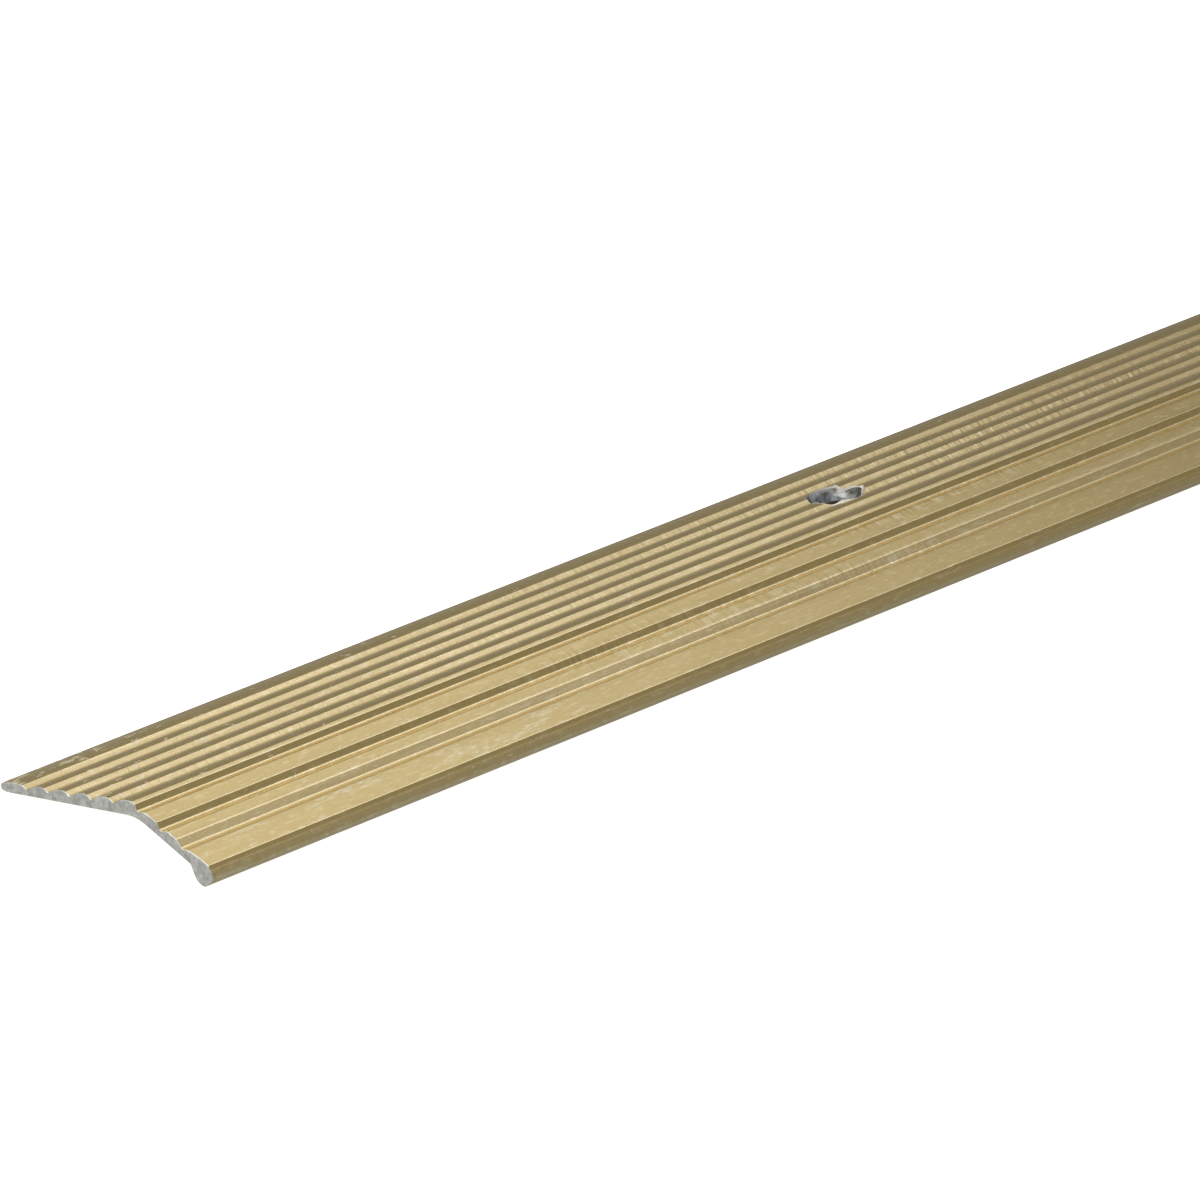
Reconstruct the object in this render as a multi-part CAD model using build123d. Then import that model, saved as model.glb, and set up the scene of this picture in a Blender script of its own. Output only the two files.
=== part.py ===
from build123d import *
import math
import os

os.makedirs("parts", exist_ok=True)

# A fluted aluminium threshold strip (carpet bar) with its four loose fixing screws.
# Millimetres. +X along the strip, front (beaded lip) towards -Y, +Z up.
# The origin is on the floor, under the middle of the strip's width and length.
# Points of the section are (s, z): s is measured from the back edge, z from the floor.

# Strip: overall size
LENGTH = 914.4
WIDTH = 34.7

# Strip: thin back edge, then a flank whose ridges all touch one rising line
TIP_R = 0.50
FOOT_END = 0.95
CREST_BASE = 0.902
CREST_RISE = 0.243

# Five grooves in the back flank: each drops to a root, then climbs over a crowned ridge
GROOVE_COUNT = 5
GROOVE_START = 3.60
GROOVE_PITCH = 3.55
GROOVE_WALL = 0.76
GROOVE_DROP = 0.36
RIDGE_CROWN = 0.28
LAND_CROWN = 0.14
APEX = (21.60, 6.13)
APEX_FRONT = (22.05, 5.93)

# Three overlapping bands on the front flank: root, start and middle of the crown, front edge
FRONT_BANDS = [
    ((22.52, 5.04), (23.35, 5.52), (24.50, 5.35), (25.58, 5.02)),
    ((26.20, 4.12), (27.10, 4.54), (27.95, 4.41), (28.78, 4.12)),
    ((29.78, 3.26), (30.50, 3.47), (32.30, 3.22), (33.98, 2.77)),
]

# Beaded lip: a small step and ledge, then a steep face and a round nose that runs down to the foot
STEP_FOOT = (34.18, 2.37)
LEDGE_EDGE = (34.46, 2.11)
NOSE_R = 0.75
NOSE_HEIGHT = 1.45
NOSE_START = 0
NOSE_END = -48
LIP_FOOT_BACK = 33.10
BEAD_R = 1.50
BEAD_TURN = 57

# Underside: two slopes that meet in a rounded hollow under the ridge
HOLLOW_TOP = (22.25, 4.54)
HOLLOW_R = 6.0
BEAD_CORNER = (31.10, 1.92)

# Roundings of the extruded corners
GROOVE_ROOT_R = 0.40
CREST_R = 0.12
APEX_R = 0.30
BAND_ROOT_R = 0.55
CROWN_R = 0.80
BAND_EDGE_RS = (0.35, 0.50, 0.35)
STEP_R = 0.08
LEDGE_R = 0.15
FOOT_R = 0.25
CORNER_R = 0.35

# Countersunk screw holes on one line
HOLE_COUNT = 4
HOLE_S = 12.2
HOLE_END_GAP = 118.6
HOLE_R = 2.2
SINK_R = 3.3
SINK_HALF_ANGLE = 45
SINK_CLEAR = 4.0

# Fixing screws: oval countersunk head, cross recess, coarse wood thread
SCREW_COUNT = 4
SHANK_R = 1.55
THREAD_R = 1.75
CORE_R = 1.15
HEAD_R = 3.3
HEAD_BAND = 0.2
CROWN_H = 0.9
SCREW_BODY = 25.4
THREAD_PITCH = 1.41
THREAD_TURNS = 11
THREAD_CREST = 0.15
POINT_LENGTH = 3.2
RECESS_R = 1.75
RECESS_SLOT = 0.85
RECESS_DEPTH = 1.5
RECESS_END_R = 0.2
SCREW_GAP = 4.0
SCREW_CLEARANCE = 4.2

HOLE_PITCH = (LENGTH - 2 * HOLE_END_GAP) / (HOLE_COUNT - 1)
HOLE_XS = [HOLE_END_GAP - LENGTH / 2 + i * HOLE_PITCH for i in range(HOLE_COUNT)]


def crest(s):
    """Height of the line that the back flank's ridges touch."""
    return CREST_BASE + CREST_RISE * s


def at(point):
    """A point of the section, placed on the strip's left end."""
    s, z = point
    return (-LENGTH / 2, WIDTH / 2 - s, z)


def run(*points):
    """Straight edges through points of the section."""
    return [Line(at(a), at(b)) for a, b in zip(points, points[1:])]


def crown(a, b, rise):
    """An arc between two points of the section that rises above their middle."""
    length = math.dist(a, b)
    across = ((a[1] - b[1]) / length, (b[0] - a[0]) / length)
    middle = ((a[0] + b[0]) / 2 + rise * across[0], (a[1] + b[1]) / 2 + rise * across[1])
    return ThreePointArc(at(a), at(middle), at(b))


def grooves():
    """The crest where each groove starts and the root that it drops to."""
    starts = [GROOVE_START + i * GROOVE_PITCH for i in range(GROOVE_COUNT)]
    crests = [(s, crest(s)) for s in starts]
    roots = [(s + GROOVE_WALL, crest(s) - GROOVE_DROP) for s in starts]
    return crests, roots


def back_flank():
    """Edges from the top of the thin back edge to the apex, with the grooves cut in."""
    crests, roots = grooves()
    edges = [crown((TIP_R, 2 * TIP_R), crests[0], LAND_CROWN)]
    for top, root, after in zip(crests, roots, crests[1:] + [APEX]):
        edges += run(top, root)
        edges.append(crown(root, after, RIDGE_CROWN))
    return edges


def front_flank():
    """Edges from the apex over its short facet and down over the three crowned bands."""
    edges = run(APEX, APEX_FRONT)
    last = APEX_FRONT
    for root, start, middle, edge in FRONT_BANDS:
        edges += run(last, root, start)
        edges.append(ThreePointArc(at(start), at(middle), at(edge)))
        last = edge
    return edges


def nose_point(degrees):
    """A point of the lip's round nose, from an angle above the level."""
    turn = math.radians(degrees)
    return (WIDTH - NOSE_R + NOSE_R * math.cos(turn), NOSE_HEIGHT + NOSE_R * math.sin(turn))


def lip():
    """Edges round the beaded lip, from the last band to the back of the lip's foot."""
    high = nose_point(NOSE_START)
    middle = nose_point((NOSE_START + NOSE_END) / 2)
    low = nose_point(NOSE_END)
    reach = low[1] / math.tan(math.radians(90 + NOSE_END))
    foot_front = (low[0] - reach, 0)
    foot_back = (LIP_FOOT_BACK, 0)
    edges = run(FRONT_BANDS[-1][-1], STEP_FOOT, LEDGE_EDGE, high)
    edges.append(ThreePointArc(at(high), at(middle), at(low)))
    edges += run(low, foot_front, foot_back)
    return edges, foot_front, foot_back


def underside(foot_back):
    """Edges of the bead's inner wall, the hollow and the back foot, ending at the back edge."""
    def bead(degrees):
        turn = math.radians(degrees)
        return (foot_back[0] - BEAD_R * math.sin(turn), BEAD_R * (1 - math.cos(turn)))

    wall = bead(BEAD_TURN)
    foot_end = (FOOT_END, 0)
    foot_start = (TIP_R, 0)
    edges = [ThreePointArc(at(foot_back), at(bead(BEAD_TURN / 2)), at(wall))]
    edges += run(wall, BEAD_CORNER, HOLLOW_TOP, foot_end, foot_start)
    edges.append(ThreePointArc(at(foot_start), at((0, TIP_R)), at((TIP_R, 2 * TIP_R))))
    return edges


def corners(face, points, radius):
    """The face with the corners nearest to these points of the section rounded."""
    for point in points:
        corner = face.vertices().sort_by_distance(at(point))[0]
        face = face.fillet_2d(radius, [corner])
    return face


def section():
    """The strip's section, in the plane of its left end."""
    nose, foot_front, foot_back = lip()
    face = make_face(back_flank() + front_flank() + nose + underside(foot_back)).face()
    crests, roots = grooves()
    face = corners(face, roots, GROOVE_ROOT_R)
    face = corners(face, crests, CREST_R)
    face = corners(face, [APEX, APEX_FRONT], APEX_R)
    face = corners(face, [band[0] for band in FRONT_BANDS], BAND_ROOT_R)
    face = corners(face, [band[1] for band in FRONT_BANDS], CROWN_R)
    for band, radius in zip(FRONT_BANDS, BAND_EDGE_RS):
        face = corners(face, [band[3]], radius)
    face = corners(face, [STEP_FOOT, nose_point(NOSE_START)], STEP_R)
    face = corners(face, [LEDGE_EDGE], LEDGE_R)
    face = corners(face, [foot_front], FOOT_R)
    face = corners(face, [HOLLOW_TOP], HOLLOW_R)
    return corners(face, [BEAD_CORNER], CORNER_R)


def screw_hole(x):
    """The drill and countersink for one hole, as a solid to cut away."""
    y = WIDTH / 2 - HOLE_S
    rim = crest(HOLE_S)
    slope = math.tan(math.radians(SINK_HALF_ANGLE))
    cone_foot = rim - (SINK_R - HOLE_R) / slope
    drill = Pos(x, y, 0) * Cylinder(HOLE_R, cone_foot + 1, align=(Align.CENTER, Align.CENTER, Align.MIN))
    cone = Cone(HOLE_R, HOLE_R + SINK_CLEAR * slope, SINK_CLEAR,
                align=(Align.CENTER, Align.CENTER, Align.MIN))
    return drill + Pos(x, y, cone_foot) * cone


def make_strip():
    """The extruded strip with its screw holes."""
    bar = extrude(section(), LENGTH, dir=(1, 0, 0))
    for x in HOLE_XS:
        bar -= screw_hole(x)
    return bar.solid()


def screw_outline():
    """Half the screw's section as (distance along the axis, radius), from crown to point."""
    head_slope = math.tan(math.radians(SINK_HALF_ANGLE))
    neck = HEAD_BAND + (HEAD_R - SHANK_R) / head_slope
    thread_end = SCREW_BODY - POINT_LENGTH
    thread_start = thread_end - THREAD_TURNS * THREAD_PITCH
    points = [(HEAD_BAND, HEAD_R), (neck, SHANK_R), (thread_start, SHANK_R), (thread_start, CORE_R)]
    for i in range(THREAD_TURNS):
        middle = thread_start + (i + 0.5) * THREAD_PITCH
        flank = (THREAD_R - CORE_R) * math.tan(math.radians(30))
        points += [(middle - THREAD_CREST / 2 - flank, CORE_R), (middle - THREAD_CREST / 2, THREAD_R),
                   (middle + THREAD_CREST / 2, THREAD_R), (middle + THREAD_CREST / 2 + flank, CORE_R)]
    points += [(thread_end, CORE_R), (SCREW_BODY, 0)]
    return points


def make_screw():
    """One screw with its axis along X, the head's rim at x = 0 and its point towards +X."""
    outline = [(x, 0, r) for x, r in screw_outline()]
    crown_top = (-CROWN_H, 0, 0)
    rim = (0, 0, HEAD_R)
    sphere_r = (HEAD_R ** 2 + CROWN_H ** 2) / (2 * CROWN_H)
    half_turn = math.asin(HEAD_R / sphere_r) / 2
    crown_mid = (sphere_r * (1 - math.cos(half_turn)) - CROWN_H, 0, sphere_r * math.sin(half_turn))
    edges = [ThreePointArc(crown_top, crown_mid, rim)]
    edges += [Line(a, b) for a, b in zip([rim] + outline, outline)]
    edges.append(Line(outline[-1], crown_top))
    body = revolve(make_face(edges), Axis.X, 360)
    tapered = Cone(RECESS_R, RECESS_END_R, RECESS_DEPTH + CROWN_H, rotation=(0, 90, 0),
                   align=(Align.CENTER, Align.CENTER, Align.MIN))
    upright = Box(4 * RECESS_DEPTH, RECESS_SLOT, 2 * RECESS_R)
    level = Box(4 * RECESS_DEPTH, 2 * RECESS_R, RECESS_SLOT)
    recess = (Pos(-CROWN_H, 0, 0) * tapered) & (upright + level)
    return (body - recess).solid()


def screw_tilt():
    """Degrees that a screw leans when it lies on its head's rim and its last thread crest."""
    contact = SCREW_BODY - POINT_LENGTH - 0.5 * THREAD_PITCH + THREAD_CREST / 2
    return math.degrees(math.atan((HEAD_R - THREAD_R) / (contact - HEAD_BAND)))


def make_screws():
    """The four screws in a line behind the strip, lying on the floor."""
    screw = make_screw()
    step = SCREW_BODY + CROWN_H + SCREW_GAP
    y = WIDTH / 2 + SCREW_CLEARANCE + HEAD_R
    laid = Rot(0, screw_tilt(), 0) * screw
    box = laid.bounding_box()
    first = -(SCREW_COUNT - 1) * step / 2 - (box.min.X + box.max.X) / 2
    return [Pos(first + i * step, y, -box.min.Z) * laid for i in range(SCREW_COUNT)]


nodes = {"strip": make_strip()}
for number, screw in enumerate(make_screws(), start=1):
    nodes[f"screw_{number}"] = screw

for name, shape in nodes.items():
    export_step(shape, f"parts/{name}.step")
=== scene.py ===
import math
import random

import bpy
from mathutils import Matrix, Vector, noise


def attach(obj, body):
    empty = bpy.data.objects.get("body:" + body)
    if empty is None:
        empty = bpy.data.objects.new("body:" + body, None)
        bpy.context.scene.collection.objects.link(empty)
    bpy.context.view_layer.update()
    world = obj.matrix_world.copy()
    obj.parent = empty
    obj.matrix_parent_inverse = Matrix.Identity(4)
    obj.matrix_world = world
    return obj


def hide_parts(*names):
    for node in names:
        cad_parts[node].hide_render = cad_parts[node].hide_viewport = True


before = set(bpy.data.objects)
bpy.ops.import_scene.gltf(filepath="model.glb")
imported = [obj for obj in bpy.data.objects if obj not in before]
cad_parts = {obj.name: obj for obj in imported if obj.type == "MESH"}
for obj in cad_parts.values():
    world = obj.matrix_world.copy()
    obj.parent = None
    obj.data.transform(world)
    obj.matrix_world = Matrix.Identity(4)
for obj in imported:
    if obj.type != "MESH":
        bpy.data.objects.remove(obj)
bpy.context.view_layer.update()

# A fluted threshold strip of gold anodised aluminium and its loose screws, seen from the sawn left end.
# Lengths are in millimetres until a mesh is made, and then in metres.
MM = 0.001
random.seed(7)

# ---------------------------------------------------------------- dimensions
LENGTH = 914.4
WIDTH = 34.7

TIP_R = 0.50
FOOT_END = 0.95
CREST_BASE = 0.902
CREST_RISE = 0.243
GROOVE_COUNT = 5
GROOVE_START = 3.60
GROOVE_PITCH = 3.55
GROOVE_WALL = 0.76
GROOVE_DROP = 0.36
RIDGE_CROWN = 0.28
LAND_CROWN = 0.14
APEX = (21.60, 6.13)
APEX_FRONT = (22.05, 5.93)
FRONT_BANDS = [
    ((22.52, 5.04), (23.35, 5.52), (24.50, 5.35), (25.58, 5.02)),
    ((26.20, 4.12), (27.10, 4.54), (27.95, 4.41), (28.78, 4.12)),
    ((29.78, 3.26), (30.50, 3.47), (32.30, 3.22), (33.98, 2.77)),
]
STEP_FOOT = (34.18, 2.37)
LEDGE_EDGE = (34.46, 2.11)
NOSE_R = 0.75
NOSE_HEIGHT = 1.45
NOSE_START = 0
NOSE_END = -48
LIP_FOOT_BACK = 33.10
BEAD_R = 1.50
BEAD_TURN = 57
HOLLOW_TOP = (22.25, 4.54)
HOLLOW_R = 6.0
BEAD_CORNER = (31.10, 1.92)

GROOVE_ROOT_R = 0.40
CREST_R = 0.12
APEX_R = 0.30
BAND_ROOT_R = 0.55
CROWN_R = 0.80
BAND_EDGE_RS = (0.35, 0.50, 0.35)
STEP_R = 0.08
LEDGE_R = 0.15
FOOT_R = 0.25
CORNER_R = 0.35
SAWN_EDGE = 0.07
ARC_STEP = 7.0
BAND_ARC_STEP = 3.0
TIP_ARC_STEP = 15.0
FILLET_STEP = 11

HOLE_COUNT = 4
HOLE_S = 12.2
HOLE_END_GAP = 118.6
HOLE_R = 2.2
SINK_R = 3.3
HOLE_RING_GAP = 6.0
CUTTER_BELOW = 1.0
CUTTER_RISE = 4.0
CUTTER_SEGMENTS = 96
STRIP_SHARP = 32

# A burr's lobes as (direction in degrees, spread in degrees, height).
BURR_LOBES = ((18, 26, 0.34), (-34, 10, 0.42), (-118, 14, 0.30), (70, 30, 0.16))
BURR_SEGMENTS = 144
BURR_LOW = 0.02
BURR_RAGGED = 0.5
BURR_RAGGED_STEP = 0.31
BURR_SEED_STEP = 5.0
BURR_THIN = 0.03
BURR_SPREAD = 0.9
BURR_INNER = 0.3
BURR_CREST = 0.1
BURR_SUNK = 0.05
BURR_SHARP = 40
RIM_REACH = 1.5
RIM_STEPS = 24

SCREW_COUNT = 4
SHANK_R = 1.55
THREAD_R = 1.75
CORE_R = 1.15
HEAD_R = 3.3
HEAD_BAND = 0.2
CROWN_H = 0.9
SCREW_BODY = 25.4
THREAD_PITCH = 1.41
THREAD_TURNS = 11
THREAD_CREST = 0.15
THREAD_FLANK = 30
THREAD_RUNOUT = 0.6
THREAD_STEPS = 12
POINT_LENGTH = 3.2
POINT_R = 0.02
CROWN_RINGS = 8
CROWN_INSET = 0.02
RIM_EDGE = 0.04
BAND_EDGE = 0.03
CONE_EDGE = 0.05
SCREW_SEGMENTS = 40
SCREW_SHARP = 35
RECESS_R = 1.75
RECESS_SLOT = 0.85
RECESS_DEPTH = 1.5
RECESS_ARMS = 4
RECESS_OVER = 0.5
RECESS_MOUTH = 0.35
RECESS_UNDER = 0.3
RECESS_TOE = 0.12
SCREW_GAP = 4.0
SCREW_CLEARANCE = 4.2

HOLE_PITCH = (LENGTH - 2 * HOLE_END_GAP) / (HOLE_COUNT - 1)
HOLE_XS = [HOLE_END_GAP - LENGTH / 2 + i * HOLE_PITCH for i in range(HOLE_COUNT)]
HOLE_Y = WIDTH / 2 - HOLE_S
SINK_FOOT = CREST_BASE + CREST_RISE * HOLE_S - (SINK_R - HOLE_R)
THREAD_END = SCREW_BODY - POINT_LENGTH
THREAD_START = THREAD_END - THREAD_TURNS * THREAD_PITCH
CROWN_SPHERE_R = (HEAD_R ** 2 + CROWN_H ** 2) / (2 * CROWN_H)


# ---------------------------------------------------------------- section
def arc(a, b, c, step=ARC_STEP):
    """Points of the arc from a through b to c, one for each few degrees."""
    d = 2 * (a[0] * (b[1] - c[1]) + b[0] * (c[1] - a[1]) + c[0] * (a[1] - b[1]))
    sq = [p[0] ** 2 + p[1] ** 2 for p in (a, b, c)]
    cx = (sq[0] * (b[1] - c[1]) + sq[1] * (c[1] - a[1]) + sq[2] * (a[1] - b[1])) / d
    cy = (sq[0] * (c[0] - b[0]) + sq[1] * (a[0] - c[0]) + sq[2] * (b[0] - a[0])) / d
    r = math.dist((cx, cy), a)
    t0, t1, t2 = [math.atan2(p[1] - cy, p[0] - cx) for p in (a, b, c)]
    turn = (t2 - t0) % (2 * math.pi)
    if (t1 - t0) % (2 * math.pi) > turn:
        turn -= 2 * math.pi
    n = max(2, math.ceil(abs(math.degrees(turn)) / step))
    angles = [t0 + turn * i / n for i in range(n + 1)]
    return [(cx + r * math.cos(angle), cy + r * math.sin(angle)) for angle in angles]


def crown(a, b, rise):
    """An arc between two points that rises above their middle."""
    length = math.dist(a, b)
    across = ((a[1] - b[1]) / length, (b[0] - a[0]) / length)
    middle = ((a[0] + b[0]) / 2 + rise * across[0], (a[1] + b[1]) / 2 + rise * across[1])
    return arc(a, middle, b)


def trimmed(points, length):
    """A polyline with that length cut off its end."""
    points = list(points)
    while len(points) > 2 and math.dist(points[-1], points[-2]) <= length:
        length -= math.dist(points[-1], points[-2])
        points.pop()
    a, b = points[-2], points[-1]
    part = length / math.dist(a, b)
    points[-1] = (b[0] + (a[0] - b[0]) * part, b[1] + (a[1] - b[1]) * part)
    return points


def heading(points):
    """Unit direction of a polyline's last segment."""
    a, b = Vector(points[-2]), Vector(points[-1])
    return (b - a).normalized()


def fillet(before, after, turn):
    """The curve that rounds the corner between two trimmed polylines, without their own end points."""
    p, q = Vector(before[-1]), Vector(after[0])
    u, v = heading(before), -heading(after[::-1])
    along = ((q.x - p.x) * v.y - (q.y - p.y) * v.x) / (u.x * v.y - u.y * v.x)
    corner = p + u * along
    steps = max(2, math.ceil(math.degrees(turn) / FILLET_STEP))
    points = []
    for k in range(1, steps):
        t = k / steps
        point = p * (1 - t) ** 2 + corner * 2 * t * (1 - t) + q * t ** 2
        points.append((point.x, point.y))
    return points


def rounded_outline(curves):
    """A closed outline of curves, each given with the radius of the corner at its end."""
    count = len(curves)
    radii = [radius for _, radius in curves]
    curves = [list(points) for points, _ in curves]
    fillets = []
    for i, radius in enumerate(radii):
        if radius == 0:
            fillets.append([])
            continue
        after = curves[(i + 1) % count]
        turn = heading(curves[i]).angle(-heading(after[::-1]))
        length = radius * math.tan(turn / 2)
        curves[i] = trimmed(curves[i], length)
        curves[(i + 1) % count] = trimmed(after[::-1], length)[::-1]
        fillets.append(fillet(curves[i], curves[(i + 1) % count], turn))
    outline = []
    for points, radius, rounding in zip(curves, radii, fillets):
        outline += points if radius else points[:-1]
        outline += rounding
    return outline


def nose_point(degrees):
    """A point on the lip's round nose, at that angle from level."""
    turn = math.radians(degrees)
    return (WIDTH - NOSE_R + NOSE_R * math.cos(turn), NOSE_HEIGHT + NOSE_R * math.sin(turn))


def bead_point(degrees):
    """A point on the round inner side of the lip's bead, at that angle from its foot."""
    turn = math.radians(degrees)
    return (LIP_FOOT_BACK - BEAD_R * math.sin(turn), BEAD_R * (1 - math.cos(turn)))


def fluted_flank():
    """The back flank: a flat land, then grooves and crowned ridges up to the apex."""
    places = [GROOVE_START + i * GROOVE_PITCH for i in range(GROOVE_COUNT)]
    crests = [(s, CREST_BASE + CREST_RISE * s) for s in places]
    roots = [(s + GROOVE_WALL, z - GROOVE_DROP) for s, z in crests]
    curves = [(crown((TIP_R, 2 * TIP_R), crests[0], LAND_CROWN), CREST_R)]
    for top, root, after in zip(crests, roots, crests[1:] + [APEX]):
        curves.append(([top, root], GROOVE_ROOT_R))
        curves.append((crown(root, after, RIDGE_CROWN), APEX_R if after is APEX else CREST_R))
    curves.append(([APEX, APEX_FRONT], APEX_R))
    return curves


def banded_flank():
    """The front flank: crowned bands that step down from the apex."""
    curves = []
    last = APEX_FRONT
    for (root, start, middle, edge), edge_radius in zip(FRONT_BANDS, BAND_EDGE_RS):
        curves.append(([last, root], BAND_ROOT_R))
        curves.append(([root, start], CROWN_R))
        curves.append((arc(start, middle, edge, BAND_ARC_STEP), edge_radius))
        last = edge
    return curves


def lip():
    """The beaded lip: a step, a ledge, a steep face, a round nose, the foot and the bead's inner side."""
    high, low = nose_point(NOSE_START), nose_point(NOSE_END)
    foot_front = (low[0] - low[1] / math.tan(math.radians(90 + NOSE_END)), 0)
    foot_back = (LIP_FOOT_BACK, 0)
    wall = bead_point(BEAD_TURN)
    curves = [([FRONT_BANDS[-1][-1], STEP_FOOT], STEP_R)]
    curves.append(([STEP_FOOT, LEDGE_EDGE], LEDGE_R))
    curves.append(([LEDGE_EDGE, high], STEP_R))
    curves.append((arc(high, nose_point((NOSE_START + NOSE_END) / 2), low), 0))
    curves.append(([low, foot_front], FOOT_R))
    curves.append(([foot_front, foot_back], 0))
    curves.append((arc(foot_back, bead_point(BEAD_TURN / 2), wall), 0))
    curves.append(([wall, BEAD_CORNER], CORNER_R))
    return curves


def underside():
    """The hollow underside, the back foot and the round back edge."""
    curves = [([BEAD_CORNER, HOLLOW_TOP], HOLLOW_R)]
    curves.append(([HOLLOW_TOP, (FOOT_END, 0)], 0))
    curves.append(([(FOOT_END, 0), (TIP_R, 0)], 0))
    curves.append((arc((TIP_R, 0), (0, TIP_R), (TIP_R, 2 * TIP_R), TIP_ARC_STEP), 0))
    return curves


def section():
    """The strip's outline as (s, z): from the top of the back edge, over the flanks, and back underneath."""
    return rounded_outline(fluted_flank() + banded_flank() + lip() + underside())


def inset(outline, depth):
    """The outline moved inwards by that depth."""
    moved = []
    count = len(outline)
    for i, point in enumerate(outline):
        a, b = Vector(outline[i - 1]), Vector(outline[(i + 1) % count])
        along = (b - a).normalized()
        inward = Vector((along.y, -along.x))
        moved.append((point[0] + inward.x * depth, point[1] + inward.y * depth))
    return moved


OUTLINE = section()
LIP_INDEX = max(range(len(OUTLINE)), key=lambda i: OUTLINE[i][0])
TOP_LINE = OUTLINE[:LIP_INDEX + 1]


def top_height(s):
    """Height of the upper surface at that distance from the back edge."""
    for a, b in zip(TOP_LINE, TOP_LINE[1:]):
        if a[0] <= s <= b[0]:
            return a[1] + (b[1] - a[1]) * (s - a[0]) / max(b[0] - a[0], 1e-9)
    return 0.0


# ---------------------------------------------------------------- mesh helpers
def mesh_object(name, points, faces, materials, indices=None):
    """A mesh object from points in millimetres."""
    mesh = bpy.data.meshes.new(name)
    mesh.from_pydata([tuple(c * MM for c in p) for p in points], [], faces)
    for material in materials:
        mesh.materials.append(material)
    if indices:
        mesh.polygons.foreach_set("material_index", indices)
    mesh.validate()
    mesh.update()
    thing = bpy.data.objects.new(name, mesh)
    bpy.context.scene.collection.objects.link(thing)
    return thing


def applied(thing):
    """Applies the object's modifiers to its mesh."""
    graph = bpy.context.evaluated_depsgraph_get()
    made = bpy.data.meshes.new_from_object(thing.evaluated_get(graph), depsgraph=graph)
    old = thing.data
    thing.modifiers.clear()
    thing.data = made
    made.name = thing.name
    bpy.data.meshes.remove(old)


def cut(thing, cutters):
    """Cuts the cutters out of the object and removes them."""
    for cutter in cutters:
        change = thing.modifiers.new("cut", "BOOLEAN")
        change.operation = "DIFFERENCE"
        change.solver = "EXACT"
        change.object = cutter
    applied(thing)
    for cutter in cutters:
        bpy.data.objects.remove(cutter)


def smooth(thing, degrees):
    """Smooth shading that keeps edges above that angle sharp and flat faces flat."""
    thing.data.shade_smooth()
    thing.data.set_sharp_from_angle(angle=math.radians(degrees))
    weighted = thing.modifiers.new("weighted", "WEIGHTED_NORMAL")
    weighted.keep_sharp = True
    applied(thing)


def lathe(name, profile, segments, place, materials, index):
    """A closed solid turned round the local Z axis from (radius, height) points that start and end on it."""
    points, faces, rings = [], [], []
    for radius, height in profile:
        if radius == 0:
            rings.append([len(points)])
            points.append(place(0, 0, height))
            continue
        rings.append(list(range(len(points), len(points) + segments)))
        for i in range(segments):
            turn = 2 * math.pi * i / segments
            points.append(place(radius * math.cos(turn), radius * math.sin(turn), height))
    for low, high in zip(rings, rings[1:]):
        for i in range(segments):
            j = (i + 1) % segments
            if len(low) == 1:
                faces.append((low[0], high[j], high[i]))
            elif len(high) == 1:
                faces.append((low[i], low[j], high[0]))
            else:
                faces.append((low[i], low[j], high[j], high[i]))
    return mesh_object(name, points, faces, materials, [index] * len(faces))


# ---------------------------------------------------------------- materials
def mixed(tree, factor, a, b):
    """A colour that goes from a to b; each is a colour or a socket."""
    mix = tree.nodes.new("ShaderNodeMix")
    mix.data_type = "RGBA"
    tree.links.new(factor, mix.inputs["Factor"])
    colours = [s for s in mix.inputs if s.type == "RGBA"]
    for socket, value in zip(colours, (a, b)):
        if isinstance(value, tuple):
            socket.default_value = value + (1.0,)
        else:
            tree.links.new(value, socket)
    return [s for s in mix.outputs if s.type == "RGBA"][0]


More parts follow.
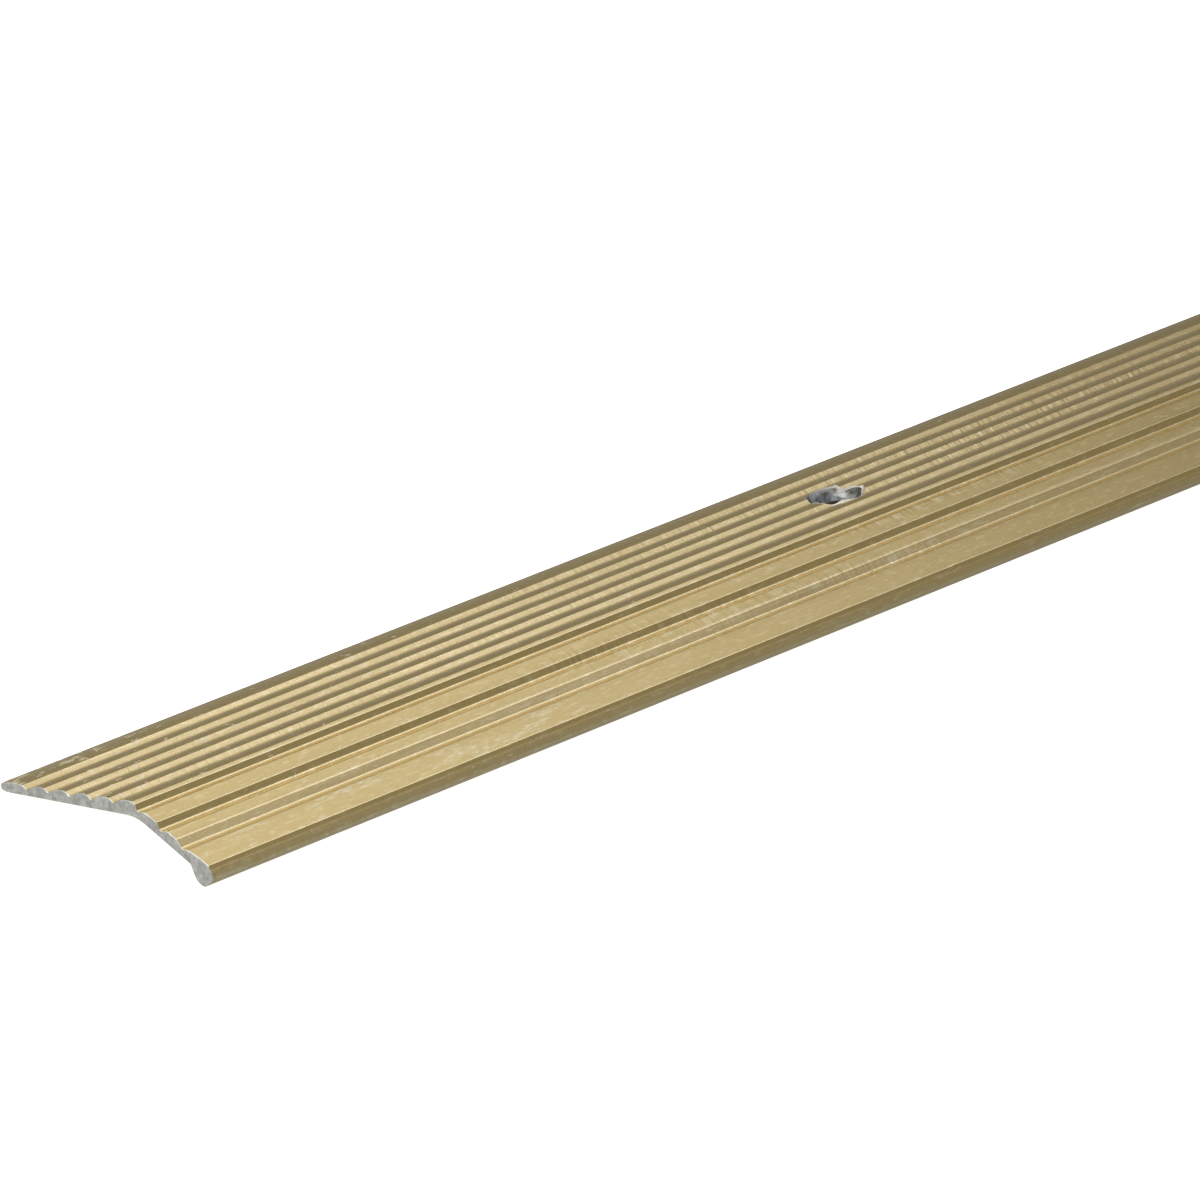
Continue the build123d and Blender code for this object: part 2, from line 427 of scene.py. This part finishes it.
class Shader:
    """A small helper that adds and links nodes of one material."""

    def __init__(self, name):
        self.material = bpy.data.materials.new(name)
        self.material.use_nodes = True
        self.tree = self.material.node_tree
        self.bsdf = self.tree.nodes["Principled BSDF"]
        self.coordinates = self.tree.nodes.new("ShaderNodeTexCoord").outputs["Object"]

    def add(self, kind, **values):
        node = self.tree.nodes.new(kind)
        for key, value in values.items():
            setattr(node, key, value)
        return node

    def link(self, a, b):
        self.tree.links.new(a, b)

    def stretched(self, scale):
        """Object coordinates in millimetres, scaled along each axis."""
        mapping = self.add("ShaderNodeMapping")
        mapping.inputs["Scale"].default_value = [v / MM for v in scale]
        self.link(self.coordinates, mapping.inputs["Vector"])
        return mapping.outputs["Vector"]

    def noise(self, scale, detail, roughness=0.5):
        """Noise whose cells are 1 / scale millimetres along each axis."""
        node = self.add("ShaderNodeTexNoise")
        node.inputs["Scale"].default_value = 1.0
        node.inputs["Detail"].default_value = detail
        node.inputs["Roughness"].default_value = roughness
        self.link(self.stretched(scale), node.inputs["Vector"])
        return node.outputs["Fac"]

    def ramp(self, value, low, high, out_low=0.0, out_high=1.0):
        """Maps low..high to out_low..out_high, held outside."""
        node = self.add("ShaderNodeMapRange")
        node.clamp = True
        self.link(value, node.inputs["Value"])
        node.inputs["From Min"].default_value = low
        node.inputs["From Max"].default_value = high
        node.inputs["To Min"].default_value = out_low
        node.inputs["To Max"].default_value = out_high
        return node.outputs["Result"]

    def math(self, operation, a, b):
        """One sum of two values; each is a number or a socket."""
        node = self.add("ShaderNodeMath", operation=operation)
        for socket, value in zip(node.inputs, (a, b)):
            if isinstance(value, (int, float)):
                socket.default_value = value
            else:
                self.link(value, socket)
        return node.outputs["Value"]

    def mix(self, factor, a, b):
        return mixed(self.tree, factor, a, b)

    def bump(self, height, distance, strength, below=None):
        """A normal from a height, with the distance in millimetres; below is a coarser normal under it."""
        node = self.add("ShaderNodeBump")
        node.inputs["Strength"].default_value = strength
        node.inputs["Distance"].default_value = distance * MM
        self.link(height, node.inputs["Height"])
        if below is not None:
            self.link(below, node.inputs["Normal"])
        return node.outputs["Normal"]

    def wire(self, **sockets):
        """Links or sets the shader's own inputs; an underscore stands for a space."""
        for key, value in sockets.items():
            socket = self.bsdf.inputs[key.replace("_", " ")]
            if isinstance(value, (int, float)):
                socket.default_value = value
            else:
                self.link(value, socket)
        return self.material


def worn_flecks(s, y, from_end):
    """Where the finish is worn through: near the ends, on the back flank and on the first land."""
    near_end = s.ramp(from_end, 0.0, 0.13, 1.0, 0.0)
    back = s.ramp(y, -0.0050, -0.0040, 0.030, 0.086)
    land = s.ramp(y, 0.0135, 0.0142)
    land_end = s.math("MULTIPLY", land, s.ramp(from_end, 0.0, 0.035, 1.0, 0.0))
    level = s.noise((0.42, 0.95, 0.95), 3.0, 0.65)
    level = s.math("ADD", level, s.math("MULTIPLY", near_end, back))
    level = s.math("ADD", level, s.ramp(s.noise((0.03, 0.12, 0.12), 2.0), 0.5, 0.8, 0.0, 0.04))
    level = s.math("ADD", level, s.math("MULTIPLY", land_end, 0.11))
    return s.ramp(level, 0.715, 0.755)


def chatter_ticks(s, y, patches):
    """Short pale ticks across the front bands, in patches."""
    front = s.ramp(y, -0.0055, -0.0045, 1.0, 0.0)
    ticks = s.ramp(s.noise((0.45, 0.45, 0.45), 1.0), 0.58, 0.68, 0.0, 0.50)
    return s.math("MULTIPLY", s.math("MULTIPLY", ticks, patches), front)


def frosty_smudges(s, y, from_end):
    """Grainy pale smudges on the last band, near the ends."""
    smudge = s.ramp(s.noise((0.14, 0.55, 0.55), 4.0, 0.7), 0.55, 0.62, 0.0, 0.60)
    smudge = s.math("MULTIPLY", smudge, s.ramp(s.noise((1.1, 3.2, 3.2), 2.0, 0.6), 0.40, 0.58))
    behind, ahead = s.ramp(y, -0.0135, -0.0130, 1.0, 0.0), s.ramp(y, -0.0167, -0.0164)
    band = s.math("MULTIPLY", behind, s.ramp(from_end, 0.05, 0.08, 1.0, 0.0))
    return s.math("MULTIPLY", smudge, s.math("MULTIPLY", band, ahead))


def anodised():
    """Gold anodised aluminium: extrusion lines, mottle, grain, speckle, and marks of wear and handling."""
    s = Shader("gold_anodised")
    split = s.add("ShaderNodeSeparateXYZ")
    s.link(s.coordinates, split.inputs["Vector"])
    y = split.outputs["Y"]
    from_end = s.math("SUBTRACT", LENGTH / 2 * MM, s.math("ABSOLUTE", split.outputs["X"], 0))
    streaks = s.noise((0.006, 3.2, 3.2), 3.0, 0.6)
    mottle = s.noise((0.12, 0.5, 0.5), 3.0, 0.6)
    grain = s.noise((1.6, 2.4, 2.4), 2.0, 0.6)
    speckle = s.ramp(s.noise((0.55, 1.8, 1.8), 2.0, 0.6), 0.55, 0.70, 0.0, 0.55)
    patches = s.ramp(s.noise((0.012, 0.2, 0.2), 2.0), 0.48, 0.60)
    worn = worn_flecks(s, y, from_end)
    tone = s.mix(s.ramp(mottle, 0.35, 0.65), (0.770, 0.605, 0.294), (0.825, 0.655, 0.332))
    tone = s.mix(s.ramp(streaks, 0.35, 0.70), tone, (0.785, 0.612, 0.298))
    tone = s.mix(s.ramp(grain, 0.40, 0.75, 0.0, 0.50), tone, (0.70, 0.545, 0.262))
    tone = s.mix(speckle, tone, (0.99, 0.83, 0.50))
    tone = s.mix(worn, tone, (1.0, 0.87, 0.62))
    tone = s.mix(chatter_ticks(s, y, patches), tone, (1.0, 0.87, 0.58))
    tone = s.mix(frosty_smudges(s, y, from_end), tone, (1.0, 0.92, 0.68))
    rough = s.math("MAXIMUM", s.ramp(streaks, 0.3, 0.7, 0.22, 0.28), s.math("MULTIPLY", worn, 0.55))
    fine = s.noise((0.01, 9.0, 9.0), 2.0, 0.5)
    chatter = s.math("MULTIPLY", s.noise((1.3, 0.15, 0.15), 1.0), patches)
    normal = s.bump(chatter, 0.05, 0.6, s.bump(fine, 0.004, 0.5))
    return s.wire(Base_Color=tone, Roughness=rough, Metallic=1.0, Normal=normal)


def bare():
    """Bare aluminium, as the saw and the drill left it."""
    s = Shader("bare_aluminium")
    marks = s.noise((1.0, 0.7, 7.0), 3.0, 0.6)
    mottle = s.noise((0.5, 1.1, 1.1), 4.0, 0.65)
    tone = s.mix(s.ramp(mottle, 0.36, 0.64), (0.62, 0.63, 0.63), (0.97, 0.97, 0.94))
    return s.wire(Base_Color=tone, Roughness=0.60, Metallic=1.0, Normal=s.bump(marks, 0.02, 0.6))


def plated():
    """Satin brass plating of the screws."""
    s = Shader("satin_brass")
    mottle = s.noise((0.6, 0.6, 0.6), 3.0, 0.6)
    tone = s.mix(s.ramp(mottle, 0.35, 0.65), (0.72, 0.56, 0.27), (0.80, 0.64, 0.33))
    rough = s.ramp(mottle, 0.3, 0.7, 0.26, 0.38)
    fine = s.noise((5.0, 5.0, 5.0), 2.0, 0.5)
    return s.wire(Base_Color=tone, Roughness=rough, Metallic=1.0, Normal=s.bump(fine, 0.006, 0.4))


def drilled():
    """Metal torn by the drill and the countersink: blotches of dull grey."""
    s = Shader("drilled_aluminium")
    blotch = s.noise((0.55, 0.55, 0.55), 3.0, 0.6)
    tone = s.mix(s.ramp(blotch, 0.40, 0.60), (0.14, 0.145, 0.135), (0.62, 0.63, 0.64))
    marks = s.noise((2.5, 2.5, 6.0), 2.0, 0.6)
    return s.wire(Base_Color=tone, Roughness=0.55, Metallic=1.0, Normal=s.bump(marks, 0.05, 0.8))


def torn():
    """The torn edge of a burr: bare metal, given a near-white, non-metallic colour that paints in its bright
    glints.
    """
    s = Shader("torn_aluminium_painted_glint")
    grain = s.noise((3.0, 3.0, 3.0), 2.0, 0.6)
    tone = s.mix(s.ramp(grain, 0.35, 0.65), (0.95, 0.94, 0.90), (1.0, 0.99, 0.95))
    return s.wire(Base_Color=tone, Roughness=0.40, Metallic=0.0, Normal=s.bump(grain, 0.03, 0.8))


GOLD = anodised()
BARE = bare()
DRILLED = drilled()
TORN_PAINTED_GLINT = torn()
BRASS = plated()
STRIP_MATERIALS = [GOLD, BARE, DRILLED]
GOLD_INDEX, BARE_INDEX, DRILLED_INDEX = range(3)


# ---------------------------------------------------------------- strip
def stations():
    """Places along the strip that get a ring of the outline."""
    half = LENGTH / 2
    places = [-half, -half + SAWN_EDGE, half - SAWN_EDGE, half]
    for x in HOLE_XS:
        places += [x - HOLE_RING_GAP, x + HOLE_RING_GAP]
    return sorted(places)


def strip_shell():
    """The extruded strip, before it is drilled, with a narrow broken edge round its sawn ends."""
    count = len(OUTLINE)
    small = inset(OUTLINE, SAWN_EDGE)
    places = stations()
    last = len(places) - 1
    points, faces, indices = [], [], []
    for k, x in enumerate(places):
        ring = small if k in (0, last) else OUTLINE
        points += [(x, WIDTH / 2 - s, z) for s, z in ring]
    for k in range(last):
        low, high = k * count, (k + 1) * count
        for i in range(count):
            j = (i + 1) % count
            faces.append((low + i, low + j, high + j, high + i))
            indices.append(BARE_INDEX if k in (0, last - 1) else GOLD_INDEX)
    faces.append(tuple(range(count - 1, -1, -1)))
    faces.append(tuple(range(last * count, last * count + count)))
    indices += [BARE_INDEX, BARE_INDEX]
    return mesh_object("strip_visual", points, faces, STRIP_MATERIALS, indices)


def drill_cutter(hole_x):
    """A drill and its countersink as one solid, on that hole's axis."""
    top = SINK_FOOT + CUTTER_RISE
    profile = [(0, -CUTTER_BELOW), (HOLE_R, -CUTTER_BELOW), (HOLE_R, SINK_FOOT)]
    profile += [(HOLE_R + CUTTER_RISE, top), (0, top)]

    def place(x, y, z):
        return (hole_x + x, HOLE_Y + y, z)

    return lathe("cutter", profile, CUTTER_SEGMENTS, place, STRIP_MATERIALS, DRILLED_INDEX)


def make_strip():
    """The strip with its countersunk holes."""
    strip = strip_shell()
    cut(strip, [drill_cutter(x) for x in HOLE_XS])
    smooth(strip, STRIP_SHARP)
    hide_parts("strip")
    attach(strip, "strip")


make_strip()


def rim_radius(x_way, s_way):
    """Distance from a hole's axis to the countersink's rim, in that direction."""
    near, far = HOLE_R, SINK_R + RIM_REACH
    for _ in range(RIM_STEPS):
        r = (near + far) / 2
        if SINK_FOOT + r - HOLE_R < top_height(HOLE_S + s_way * r):
            near = r
        else:
            far = r
    return near


def burr_height(number, i, turn):
    """Height of that burr in one direction, ragged from point to point."""
    height = BURR_LOW
    for centre, spread, lobe in BURR_LOBES:
        off = (math.degrees(turn) - centre + 180) % 360 - 180
        height += lobe * math.exp(-(off / spread) ** 2)
    place = Vector((i * BURR_RAGGED_STEP, number * BURR_SEED_STEP, 0))
    return height * (1 + BURR_RAGGED * noise.noise(place))


def make_burr(number, hole_x):
    """The torn metal round one countersink: a thin closed ring, tallest where the drill broke out."""
    count = BURR_SEGMENTS
    points, faces = [], []
    for i in range(count):
        turn = 2 * math.pi * i / count
        x_way, s_way = math.cos(turn), -math.sin(turn)
        r = rim_radius(x_way, s_way)
        height = burr_height(number, i, turn)
        wide = BURR_THIN + BURR_SPREAD * height
        inner, crest, outer = r - BURR_INNER * wide, r + BURR_CREST * wide, r + wide
        for radius, rise in ((inner, -BURR_SUNK), (crest, height), (outer, -BURR_SUNK)):
            s = HOLE_S + s_way * radius
            points.append((hole_x + x_way * radius, WIDTH / 2 - s, top_height(s) + rise))
    for i in range(count):
        here, there = 3 * i, 3 * ((i + 1) % count)
        for k in range(3):
            after = (k + 1) % 3
            faces.append((here + k, here + after, there + after, there + k))
    # The burr's near-white colour is a painted glint on bare torn metal.
    burr = mesh_object(f"burr_{number}", points, faces, [TORN_PAINTED_GLINT])
    smooth(burr, BURR_SHARP)
    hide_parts("strip")
    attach(burr, "strip")


for number, hole_x in enumerate(HOLE_XS, start=1):
    make_burr(number, hole_x)


# ---------------------------------------------------------------- screws
def thread_radius(x, turn):
    """Radius of the threaded shank: one ridge that winds once round in each pitch."""
    phase = ((x - THREAD_START) / THREAD_PITCH - turn / (2 * math.pi)) % 1.0
    away = abs(phase - 0.5) * THREAD_PITCH
    flank = (THREAD_R - CORE_R) * math.tan(math.radians(THREAD_FLANK))
    ridge = min(1.0, max(0.0, 1 - (away - THREAD_CREST / 2) / flank))
    fade = min(1.0, max(0.0, (x - THREAD_START) / THREAD_PITCH))
    core = CORE_R if x < THREAD_END else CORE_R * (SCREW_BODY - x) / POINT_LENGTH
    runout = min(1.0, max(0.0, (SCREW_BODY - x) / (POINT_LENGTH + THREAD_RUNOUT * THREAD_PITCH)))
    tall = (THREAD_R - CORE_R) * runout
    return (SHANK_R * (1 - fade) + core * fade) + tall * ridge * fade


def head_rings():
    """Rings of the crowned head, its narrow band and its cone, as (x, radius)."""
    rings = []
    for k in range(1, CROWN_RINGS + 1):
        r = HEAD_R * k / CROWN_RINGS - CROWN_INSET
        rings.append((CROWN_SPHERE_R - CROWN_H - math.sqrt(CROWN_SPHERE_R ** 2 - r ** 2), r))
    rings += [(RIM_EDGE, HEAD_R), (HEAD_BAND - BAND_EDGE, HEAD_R)]
    rings += [(HEAD_BAND + BAND_EDGE, HEAD_R - CONE_EDGE)]
    rings += [(HEAD_BAND + HEAD_R - SHANK_R, SHANK_R)]
    return rings


def screw_solid():
    """One screw's mesh, with its axis along X and the head's rim at x = 0."""
    segments = SCREW_SEGMENTS
    turns = [2 * math.pi * i / segments for i in range(segments)]
    threaded = SCREW_BODY - THREAD_START
    steps = round(threaded / THREAD_PITCH * THREAD_STEPS)
    places = [THREAD_START + threaded * k / steps for k in range(steps)]
    rings = [[(x, r)] * segments for x, r in head_rings()]
    rings += [[(x, max(POINT_R, thread_radius(x, turn))) for turn in turns] for x in places]
    points = [(-CROWN_H, 0, 0)]
    for ring in rings:
        points += [(x, r * math.cos(turn), r * math.sin(turn)) for (x, r), turn in zip(ring, turns)]
    points.append((SCREW_BODY, 0, 0))
    faces = [(0, 1 + i, 1 + (i + 1) % segments) for i in range(segments)]
    for k in range(len(rings) - 1):
        low = 1 + k * segments
        for i in range(segments):
            j = (i + 1) % segments
            faces.append((low + i, low + segments + i, low + segments + j, low + j))
    low = 1 + (len(rings) - 1) * segments
    tip = len(points) - 1
    faces += [(low + i, tip, low + (i + 1) % segments) for i in range(segments)]
    return mesh_object("screw_solid", points, faces, [BRASS])


def recess_cutter():
    """The cross recess as a solid: four arms that get shorter towards the bottom."""
    half = RECESS_SLOT / 2
    mouth = (-CROWN_H - RECESS_OVER, RECESS_R + RECESS_MOUTH)
    floor = (RECESS_DEPTH - CROWN_H + RECESS_UNDER, half + RECESS_TOE)
    points, ring = [], []
    for x, reach in (mouth, floor):
        for i in range(RECESS_ARMS):
            turn = 2 * math.pi * i / RECESS_ARMS
            c, s = round(math.cos(turn)), round(math.sin(turn))
            for y, z in ((half, half), (reach, half), (reach, -half)):
                points.append((x, y * c - z * s, y * s + z * c))
    for i in range(RECESS_ARMS):
        ring += [3 * i + 2, 3 * i + 1, 3 * i]
    count = len(ring)
    faces = [tuple(ring), tuple(v + count for v in reversed(ring))]
    for k in range(count):
        a, b = ring[k], ring[(k + 1) % count]
        faces.append((a, a + count, b + count, b))
    return mesh_object("recess", points, faces, [BRASS])


def screw_place(number):
    """Where that screw lies on the floor: leaning on its head's rim and its last thread."""
    contact = SCREW_BODY - POINT_LENGTH - 0.5 * THREAD_PITCH + THREAD_CREST / 2
    tilt = math.atan((HEAD_R - THREAD_R) / (contact - HEAD_BAND))
    low_x = (CROWN_SPHERE_R - CROWN_H) * math.cos(tilt) - CROWN_SPHERE_R
    high_x = SCREW_BODY * math.cos(tilt)
    step = SCREW_BODY + CROWN_H + SCREW_GAP
    x = (number - 1 - (SCREW_COUNT - 1) / 2) * step - (low_x + high_x) / 2
    y = WIDTH / 2 + SCREW_CLEARANCE + HEAD_R
    z = HEAD_BAND * math.sin(tilt) + HEAD_R * math.cos(tilt)
    return Matrix.Translation(Vector((x, y, z)) * MM) @ Matrix.Rotation(tilt, 4, "Y")


def make_screws():
    """Four copies of the screw, each rolled to its own angle about its axis."""
    solid = screw_solid()
    cut(solid, [recess_cutter()])
    smooth(solid, SCREW_SHARP)
    for number in range(1, SCREW_COUNT + 1):
        mesh = solid.data.copy()
        mesh.name = f"screw_{number}_visual"
        roll = Matrix.Rotation(random.uniform(0, math.pi / 2), 4, "X")
        mesh.transform(screw_place(number) @ roll)
        screw = bpy.data.objects.new(mesh.name, mesh)
        bpy.context.scene.collection.objects.link(screw)
        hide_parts(f"screw_{number}")
        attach(screw, f"screw_{number}")
    bpy.data.objects.remove(solid)


make_screws()


# ---------------------------------------------------------------- stage
# The floor glows except in a band under the strip, which the strip hides from above: there a painted shadow
# darkens its colour and puts out its glow.
FLOOR_REACH = 6.0
FLOOR_DROP = 0.00002
FLOOR_GLOW = 0.93
FLOOR_PALE = (0.85, 0.85, 0.85)
FLOOR_PAINTED_SHADOW = (0.10, 0.10, 0.10)
PAINTED_SHADOW_X = (LENGTH / 2 - 60, LENGTH / 2 - 15)
PAINTED_SHADOW_Y = (9.0, 15.0)


def make_floor():
    """A plain pale floor that glows from within so that it stays white, with a painted shadow under the
    strip.
    """
    low, high = -FLOOR_REACH, FLOOR_REACH
    mesh = bpy.data.meshes.new("floor")
    mesh.from_pydata([(low, low, 0), (high, low, 0), (high, high, 0), (low, high, 0)], [], [(0, 1, 2, 3)])
    floor = bpy.data.objects.new("floor", mesh)
    floor.location.z = -FLOOR_DROP
    bpy.context.scene.collection.objects.link(floor)
    material = bpy.data.materials.new("floor")
    material.use_nodes = True
    tree = material.node_tree
    bsdf = tree.nodes["Principled BSDF"]
    bsdf.inputs["Roughness"].default_value = 1.0
    bsdf.inputs["Specular IOR Level"].default_value = 0.0
    place = tree.nodes.new("ShaderNodeTexCoord")
    split = tree.nodes.new("ShaderNodeSeparateXYZ")
    tree.links.new(place.outputs["Object"], split.inputs["Vector"])
    # Painted shadow: the glow and the colour fall away in a band under the strip.
    glow_outside_painted_shadow = tree.nodes.new("ShaderNodeMath")
    glow_outside_painted_shadow.operation = "MAXIMUM"
    for socket, axis, (inner, outer) in zip(glow_outside_painted_shadow.inputs, "XY", (PAINTED_SHADOW_X, PAINTED_SHADOW_Y)):
        size = tree.nodes.new("ShaderNodeMath")
        size.operation = "ABSOLUTE"
        spread = tree.nodes.new("ShaderNodeMapRange")
        spread.interpolation_type = "SMOOTHSTEP"
        spread.inputs["From Min"].default_value = inner * MM
        spread.inputs["From Max"].default_value = outer * MM
        spread.inputs["To Max"].default_value = FLOOR_GLOW
        tree.links.new(split.outputs[axis], size.inputs[0])
        tree.links.new(size.outputs["Value"], spread.inputs["Value"])
        tree.links.new(spread.outputs["Result"], socket)
    # Painted shadow: the floor's colour goes dark under the strip.
    shade = mixed(tree, glow_outside_painted_shadow.outputs["Value"], FLOOR_PAINTED_SHADOW, FLOOR_PALE)
    tree.links.new(shade, bsdf.inputs["Base Color"])
    bsdf.inputs["Emission Color"].default_value = (1, 1, 1, 1)
    tree.links.new(glow_outside_painted_shadow.outputs["Value"], bsdf.inputs["Emission Strength"])
    mesh.materials.append(material)
    floor.visible_glossy = False


make_floor()


# The studio's colours as (towards the front, towards the back), and the ranges of direction over which
# they and the strength change.
STUDIO_ABOVE = ((0.326, 0.313, 0.257), (0.276, 0.265, 0.2175))
STUDIO_LOW = ((0.385, 0.42, 0.48), (0.33, 0.325, 0.30))
STUDIO_HEIGHTS = (-0.1, 0.25)
STUDIO_DEPTHS = (-0.3, 0.1)
STUDIO_FADE = (0.56, 0.74)
STUDIO_STRENGTHS = (1.177, 0.517)


def spread_over(tree, value, source, target=(0.0, 1.0)):
    """The value mapped from one range to another and held outside."""
    node = tree.nodes.new("ShaderNodeMapRange")
    node.inputs["From Min"].default_value = source[0]
    node.inputs["From Max"].default_value = source[1]
    node.inputs["To Min"].default_value = target[0]
    node.inputs["To Max"].default_value = target[1]
    tree.links.new(value, node.inputs["Value"])
    return node.outputs["Result"]


def make_world():
    """An even studio: warm grey above, lighter below, and weaker towards the strip's right end."""
    world = bpy.data.worlds.new("studio")
    bpy.context.scene.world = world
    world.use_nodes = True
    tree = world.node_tree
    background = tree.nodes["Background"]
    place = tree.nodes.new("ShaderNodeTexCoord")
    split = tree.nodes.new("ShaderNodeSeparateXYZ")
    tree.links.new(place.outputs["Generated"], split.inputs["Vector"])
    height = spread_over(tree, split.outputs["Z"], STUDIO_HEIGHTS)
    depth = spread_over(tree, split.outputs["Y"], STUDIO_DEPTHS)
    low = mixed(tree, depth, *STUDIO_LOW)
    high = mixed(tree, depth, *STUDIO_ABOVE)
    tree.links.new(mixed(tree, height, low, high), background.inputs["Color"])
    strength = spread_over(tree, split.outputs["X"], STUDIO_FADE, STUDIO_STRENGTHS)
    tree.links.new(strength, background.inputs["Strength"])


make_world()


def softbox(name, target, direction, distance, along, size, radiance, colour=(1, 1, 1)):
    """A rectangular light that faces the target, size[0] along the given direction."""
    away = Vector(direction).normalized()
    x_axis = (Vector(along) - away * away.dot(Vector(along))).normalized()
    y_axis = away.cross(x_axis)
    light = bpy.data.lights.new(name, "AREA")
    light.shape = "RECTANGLE"
    light.size = size[0]
    light.size_y = size[1]
    light.energy = radiance * math.pi * size[0] * size[1]
    light.color = colour
    lamp = bpy.data.objects.new(name, light)
    spin = Matrix((x_axis, y_axis, away)).transposed().to_4x4()
    lamp.matrix_world = Matrix.Translation(Vector(target) + away * distance) @ spin
    bpy.context.scene.collection.objects.link(lamp)


def above(degrees, reach):
    """A direction over the strip, turned towards the back by that angle from straight up."""
    turn = math.radians(degrees)
    rest = math.sqrt(1 - reach ** 2)
    return (reach, rest * math.sin(turn), rest * math.cos(turn))


# Each key light is a pair, tilted by two reaches along the strip, so that its light fades gently.
KEY_TARGET = (-0.36, 0, 0)
KEY_DISTANCE = 0.9
KEY_REACHES = (0.46, 0.365)
BACK_ANGLE, BACK_ALONG, BACK_SIZE = 32, (0, 0.848, -0.53), (0.56, 0.60)
BACK_RADIANCE, BACK_COLOUR = 0.575 / len(KEY_REACHES), (1.0, 1.02, 1.07)
TOP_ANGLE, TOP_ALONG, TOP_SIZE = -7, (0, 0.985, 0.174), (0.38, 0.60)
TOP_RADIANCE, TOP_COLOUR = 1.22 / len(KEY_REACHES), (0.99, 1.07, 1.42)
ACROSS = (0, 1, 0)

for reach in KEY_REACHES:
    back, top = above(BACK_ANGLE, reach), above(TOP_ANGLE, reach)
    softbox("key_back", KEY_TARGET, back, KEY_DISTANCE, BACK_ALONG, BACK_SIZE, BACK_RADIANCE, BACK_COLOUR)
    softbox("key_top", KEY_TARGET, top, KEY_DISTANCE, TOP_ALONG, TOP_SIZE, TOP_RADIANCE, TOP_COLOUR)
softbox("rim", (-0.457, 0, 0), (-0.60, 0.33, 0.73), 1.2, ACROSS, (0.55, 0.55), 4.5)
softbox("side", (-0.45, 0, 0), (-0.95, 0.10, 0.25), 1.0, ACROSS, (1.0, 0.7), 0.68)


# ---------------------------------------------------------------- camera
CAMERA_PLACE = (-1241.86, -868.0, 568.02)
CAMERA_AZIMUTH = -44.753
CAMERA_ELEVATION = 24.717
CAMERA_ROLL = 0.948
CAMERA_LENS = 354.65
CAMERA_SENSOR = 36
CAMERA_CLIP = (0.01, 50)


def make_camera():
    """The camera, from its place, the way it looks, and a slight roll."""
    az, el, roll = [math.radians(v) for v in (CAMERA_AZIMUTH, CAMERA_ELEVATION, CAMERA_ROLL)]
    forward = Vector((-math.sin(az) * math.cos(el), math.cos(az) * math.cos(el), -math.sin(el)))
    level = Vector((math.cos(az), math.sin(az), 0))
    upright = level.cross(forward)
    right = level * math.cos(roll) + upright * math.sin(roll)
    up = upright * math.cos(roll) - level * math.sin(roll)
    data = bpy.data.cameras.new("camera")
    data.lens = CAMERA_LENS
    data.sensor_width = CAMERA_SENSOR
    data.clip_start, data.clip_end = CAMERA_CLIP
    camera = bpy.data.objects.new("camera", data)
    spin = Matrix((right, up, -forward)).transposed().to_4x4()
    camera.matrix_world = Matrix.Translation(Vector(CAMERA_PLACE) * MM) @ spin
    bpy.context.scene.collection.objects.link(camera)
    bpy.context.scene.camera = camera


make_camera()
bpy.context.scene.view_settings.view_transform = "Standard"
